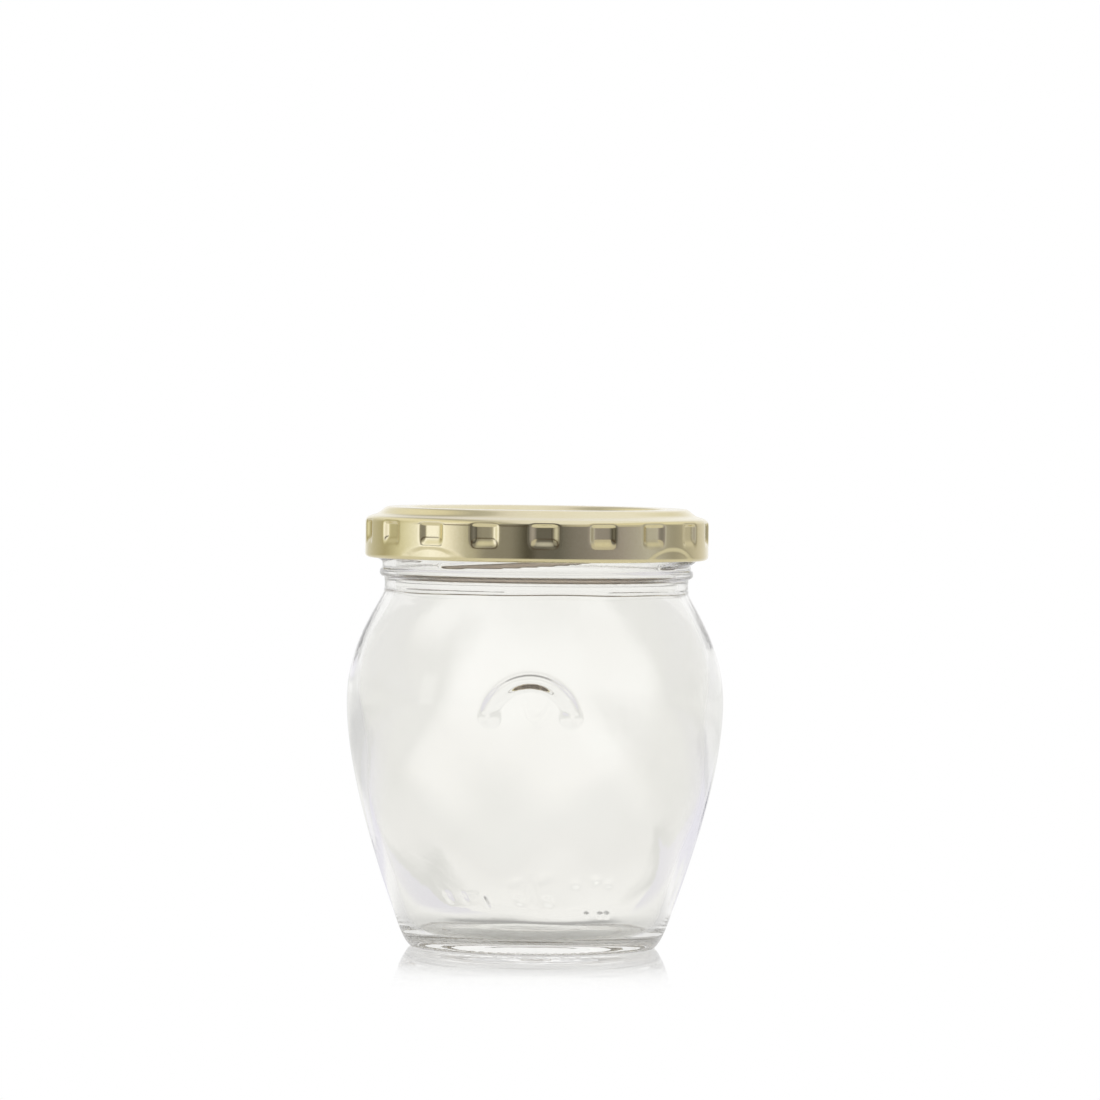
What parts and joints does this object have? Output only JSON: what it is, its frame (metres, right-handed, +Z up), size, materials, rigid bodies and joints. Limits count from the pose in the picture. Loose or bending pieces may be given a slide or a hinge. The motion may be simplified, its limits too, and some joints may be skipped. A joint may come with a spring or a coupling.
{
  "type": "twist-off glass jar",
  "caption": "Belly-shaped clear glass jar with threaded mouth, an arched handle relief and a twist-off metal lug cap with a dimpled skirt and a sealing gasket.",
  "frame": {"origin": "centre of the bearing ring that the jar stands on", "axes": "+Z up along the jar's axis, -Y towards the front with the arched handle relief, +X to the right seen from the front"},
  "size_m": [0.074, 0.075, 0.0863],
  "materials": {
    "clear_glass": "clear flint glass, fire-polished",
    "gold_tinplate": "tinplate under clear gold lacquer, glossy",
    "plastisol": "satin cast sealing compound"
  },
  "bodies": {
    "jar": {"glass_jar": "clear_glass"},
    "liner": {"sealing_gasket": "plastisol"},
    "cap": {"cap_shell": "gold_tinplate"}
  },
  "joints": [
    {"name": "cap_rise", "type": "slide", "parent": "jar", "child": "liner", "axis": [0, 0, 1], "range_m": [-0.00181, 0.01201]},
    {"name": "cap_twist", "type": "hinge", "parent": "liner", "child": "cap", "pos_m": [0, 0, 0.0806], "axis": [0, 0, 1], "range_deg": [-54, 360]}
  ],
  "couplings": [
    {"joint": "cap_rise", "follows": "cap_twist", "m_per_rad": 0.0019099}
  ]
}
